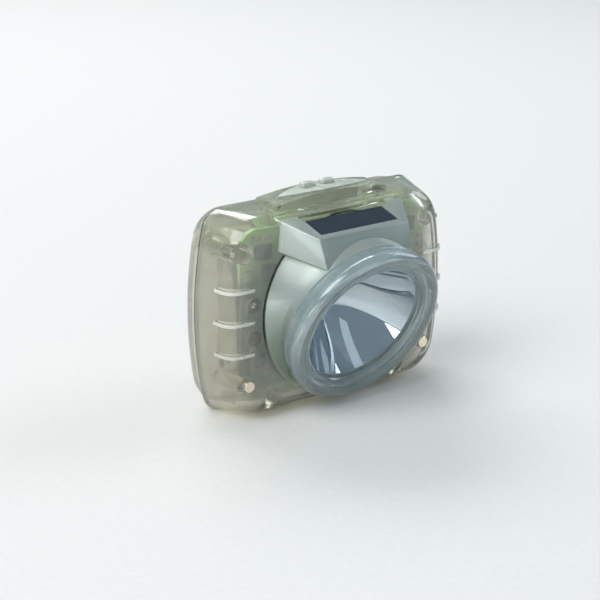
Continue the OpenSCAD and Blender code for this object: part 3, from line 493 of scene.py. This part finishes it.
def makeBezel(b):
    centre = b["outer"] - b["beadRadius"]
    foot = -math.acos((b["skirt"] - centre) / b["beadRadius"])
    crest = math.pi - math.asin(b["lipTop"] / b["beadRadius"])
    turns = [foot + (crest - foot) * i / b["beadSteps"] for i in range(b["beadSteps"] + 1)]
    profile = [(b["inner"], b["skirtBack"]),
               (b["skirt"] - b["skirtChamfer"], b["skirtBack"]),
               (b["skirt"], b["skirtBack"] + b["skirtChamfer"])]
    profile += [(centre + b["beadRadius"] * math.cos(turn), b["beadRadius"] * math.sin(turn))
                for turn in turns]
    profile += [(b["opening"] + out, b["lipTop"] - down) for out, down in b["lipSteps"]]
    profile += [(b["opening"], b["lensTop"] + b["lipEdge"]),
                (b["opening"], b["lensTop"]),
                (b["inner"], b["lensTop"])]
    obj = turned("bezel_bead", profile)
    smoothAngle(obj.data, math.radians(30))
    mount(obj, "lamp", "bezel")
    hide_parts("bezel_ring")


def bowlRadius(depthBehind):
    fall = (bowl["rim"] ** 2 - bowl["throat"] ** 2) / bowl["depth"]
    return math.sqrt(bowl["rim"] ** 2 - depthBehind * fall)


def makeReflector(b):
    depths = [b["depth"] * i / b["steps"] for i in range(b["steps"] + 1)]
    behind = depths[b["wallFrom"]:]
    flangeBack = b["rimHeight"] - b["flange"]
    profile = [(bowlRadius(depth), b["rimHeight"] - depth) for depth in depths]
    profile += [(bowlRadius(depth) + b["wall"], b["rimHeight"] - depth)
                for depth in reversed(behind)]
    profile += [(bowlRadius(behind[0]) + b["wall"], flangeBack),
                (b["flangeOuter"], flangeBack),
                (b["flangeOuter"], b["rimHeight"])]
    obj = turned("reflector_bowl", profile)
    smoothAngle(obj.data, math.radians(25))
    mount(obj, "lamp", "reflector")
    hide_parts("reflector")


# the mould's small radius along the hood's long edges, which the frame leaves sharp: mm and degrees
hood = {
    "radius": 0.45, "segments": 3, "sharperThan": 24, "bluntedBelow": 120,
    "longerThan": 7.0, "above": 40, "below": 54.0, "inFrontOf": -3.7,
}


def softenHood(obj, h):
    work = bmesh.new()
    work.from_mesh(obj.data)
    edges = []
    for edge in work.edges:
        first, second = (v.co / mm for v in edge.verts)
        if (len(edge.link_faces) == 2 and max(first.y, second.y) < h["inFrontOf"]
                and h["above"] < min(first.z, second.z) and max(first.z, second.z) < h["below"]
                and (first - second).length > h["longerThan"]
                and h["sharperThan"] < math.degrees(edge.calc_face_angle_signed(0))
                < h["bluntedBelow"]):
            edges.append(edge)
    count = len(edges)
    bmesh.ops.bevel(work, geom=edges, offset=h["radius"] * mm, offset_type="OFFSET",
                    segments=h["segments"], profile=0.5, affect="EDGES", clamp_overlap=True)
    work.to_mesh(obj.data)
    work.free()
    smoothAngle(obj.data, math.radians(30))
    return count


makeBezel(bezelRing)
makeReflector(bowl)
print("lamp turned")

shell = cleaned("front_housing", "clearHousing", angle=30)
eased = softenHood(shell, hood)
print("hood edges rounded:", eased)
cleaned("rear_housing", "rearHousing", angle=30)
cleaned("housing_gasket", "rubber")
cleaned("lens", "lens", soften=0.2)
cleaned("lens_seal", "pad", angle=60)
cleaned("led_emitter", "led", angle=50)
cleaned("led_board", "ledBoard", soften=0.1)
cleaned("led_board_screws", "zinc", soften=0.06)
cleaned("heat_sink", "aluminium", angle=28)
cleaned("display_window", "displayGlass", soften=0.15)
cleaned("display_module", "lcd", soften=0.08)
cleaned("display_board", "board", soften=0.06)
cleaned("display_cable", "flex", angle=60)
cleaned("main_board", "board", soften=0.08)
cleaned("driver_chips", "chip", soften=0.1)
cleaned("power_inductor", "ferrite", soften=0.3)
cleaned("chip_parts", "ceramic", soften=0.06)
cleaned("cell_connector", "nylon", soften=0.12)
cleaned("board_screws", "blackSteel", soften=0.08)
cleaned("switch_board", "board", soften=0.06)
cleaned("switch_cans", "switch", soften=0.1)
cleaned("switch_screws", "zinc", soften=0.08)
for side, body in (("lamp", "lamp_key"), ("display", "display_key")):
    cleaned(side + "_plunger", "chip", body, soften=0.08)
    cleaned(side + "_key", "key", body, angle=40, soften=0.12)
cleaned("key_pad", "pad", angle=35, soften=0.15)
cleaned("charging_studs", "stud", soften=0.15)
cleaned("stud_seals", "rubber")
cleaned("stud_nuts", "brass", soften=0.1)
cleaned("solder_tags", "brass", soften=0.04)
cleaned("battery_cell", "pouch", angle=35)
cleaned("cell_board", "cellBoard", soften=0.06)
cleaned("cell_foam", "foam", soften=0.1)
cleaned("housing_screws", "zinc", soften=0.1)
cleaned("helmet_clip", "strip", angle=40, soften=0.25)
cleaned("clip_screws", "zinc", soften=0.12)


def colourWires(obj, nearer):  # the wire that starts nearer to that x is black
    work = bmesh.new()
    work.from_mesh(obj.data)
    work.verts.ensure_lookup_table()
    left = set(work.verts)
    while left:
        group, edge = set(), [left.pop()]
        while edge:
            vert = edge.pop()
            group.add(vert)
            for other in (e.other_vert(vert) for e in vert.link_edges):
                if other in left:
                    left.discard(other)
                    edge.append(other)
        start = min(v.co.x for v in group)
        index = 1 if start < nearer * mm else 0
        for face in work.faces:
            if face.verts[0] in group:
                face.material_index = index
    work.to_mesh(obj.data)
    work.free()


for node, limit in (("cell_wires", 11.5), ("led_wires", 0.0)):
    colourWires(cleaned(node, ["redWire", "blackWire"], angle=60, flat=False), limit)
print("pieces placed")


def makeStudio(s):
    bpy.ops.mesh.primitive_plane_add(size=s["floorSize"], location=(0, 0, 0))
    floor = bpy.context.active_object
    floor.name = "floor"
    floor.data.materials.append(solid("paintedFloor", s["floorColour"], s["floorShade"], 0.002,
                                      (0.86, 0.9)))
    world = bpy.data.worlds.new("studioSky")
    bpy.context.scene.world = world
    world.use_nodes = True
    sky = world.node_tree.nodes["Background"]
    sky.inputs["Color"].default_value = linear(s["worldColour"])
    sky.inputs["Strength"].default_value = s["worldStrength"]


def softBox(name, where, aim, size, power, colour="#FFFFFF", roll=0):
    light = bpy.data.lights.new(name, "AREA")
    light.shape = "RECTANGLE"
    light.size, light.size_y = size
    light.energy = power
    light.color = linear(colour)[:3]
    obj = bpy.data.objects.new(name, light)
    bpy.context.scene.collection.objects.link(obj)
    obj.location = where
    turn = (Vector(aim) - Vector(where)).to_track_quat("-Z", "Y")
    obj.rotation_euler = (turn @ Quaternion((0, 0, 1), math.radians(roll))).to_euler()


def makeCamera(s):
    data = bpy.data.cameras.new("camera")
    data.lens = s["focalLength"]
    data.sensor_width = 36
    data.clip_start = 0.01
    data.clip_end = 20
    camera = bpy.data.objects.new("camera", data)
    bpy.context.scene.collection.objects.link(camera)
    right, up = Vector(s["cameraRight"]), Vector(s["cameraUp"])
    turn = Matrix((right, up, right.cross(up))).transposed().to_4x4()
    camera.matrix_world = Matrix.Translation(s["cameraPlace"]) @ turn
    bpy.context.scene.camera = camera


makeStudio(studio)
softBox("keyLight", (-0.75, -0.15, 0.85), (0, 0, 0.03), (0.7, 0.7), 10.0)
softBox("fillLight", (0.9, -0.2, 0.5), (0, 0, 0.03), (0.5, 0.6), 4.0, "#F3F7FF")
softBox("rimLight", (0.15, 0.75, 0.7), (0, 0, 0.03), (0.7, 0.4), 6.0)
softBox("frontCard", (0.10, -0.78, 0.62), (0, 0, 0.03), (0.66, 0.24), 0.20, "#F4F8FF", 62)
softBox("sideCard", (-0.92, -0.26, 0.13), (0, -0.02, 0.03), (0.55, 0.20), 1.6)
makeCamera(studio)
bpy.context.scene.view_settings.view_transform = "Standard"
bpy.context.scene.view_settings.look = "None"
print("studio ready")
